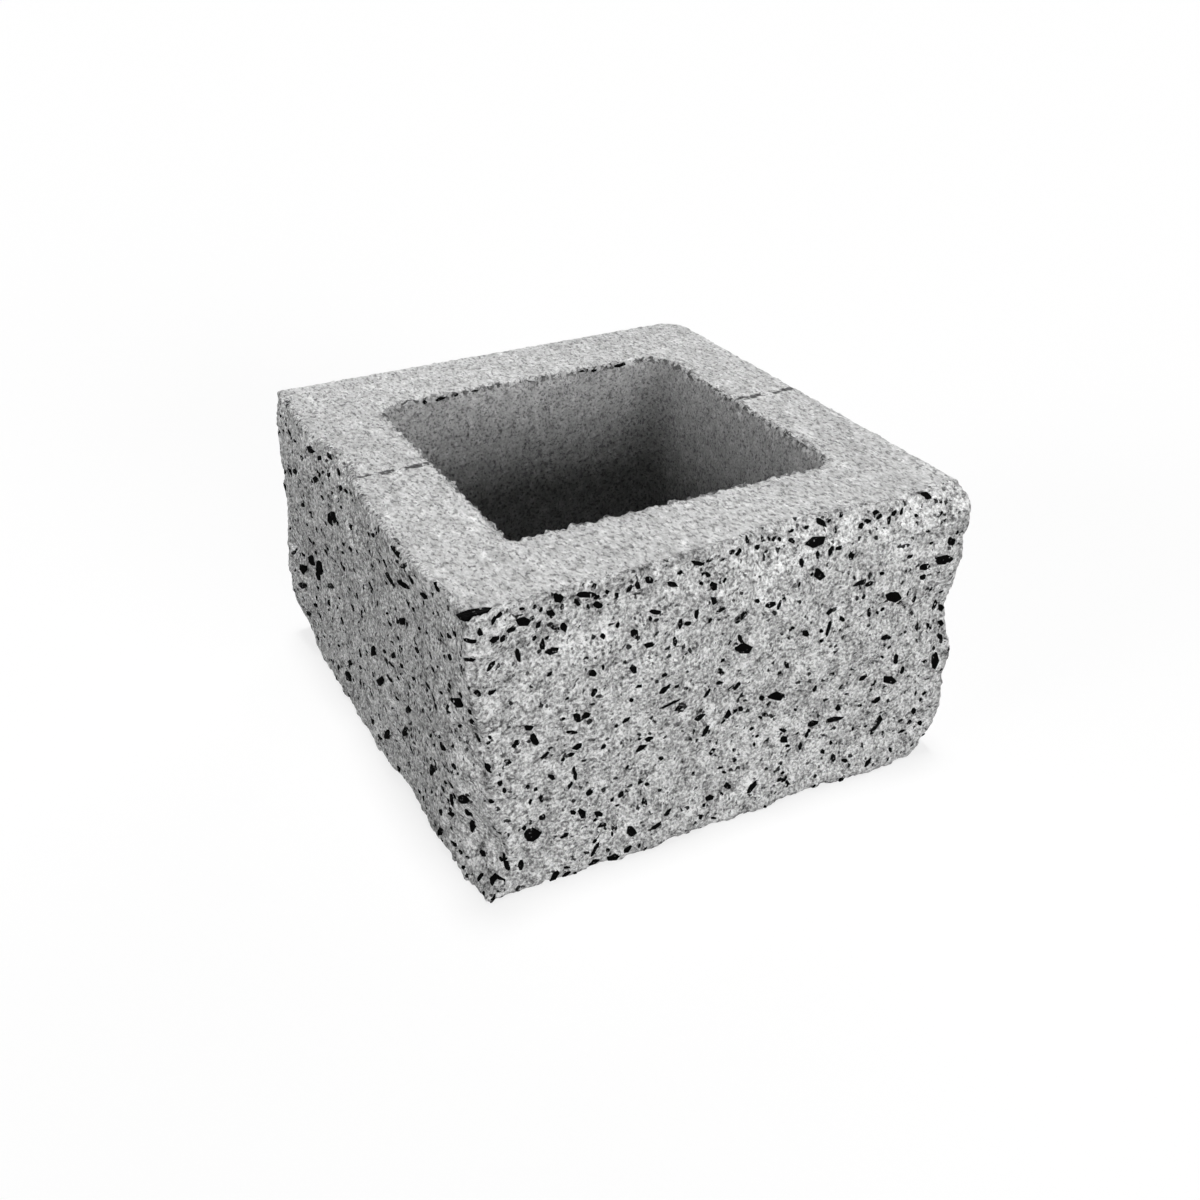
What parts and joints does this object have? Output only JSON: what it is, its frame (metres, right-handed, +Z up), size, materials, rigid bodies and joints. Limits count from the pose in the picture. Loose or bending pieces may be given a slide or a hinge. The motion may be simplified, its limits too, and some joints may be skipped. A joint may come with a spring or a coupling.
{
  "type": "concrete block",
  "caption": "Hollow pillar block of dense concrete: rough split faces on two adjacent sides, flat moulded faces on the other two, and a square core right through.",
  "frame": {"origin": "middle of the box of the lower bed, on the level that the block stands on", "axes": "+X towards the right moulded side, +Y towards the back moulded side, +Z up from the lower bed; the split faces look along -X and -Y"},
  "size_m": [0.3251, 0.3436, 0.19],
  "materials": {
    "concrete": "rough"
  },
  "bodies": {
    "root": {"concrete_block": "concrete"}
  },
  "joints": []
}
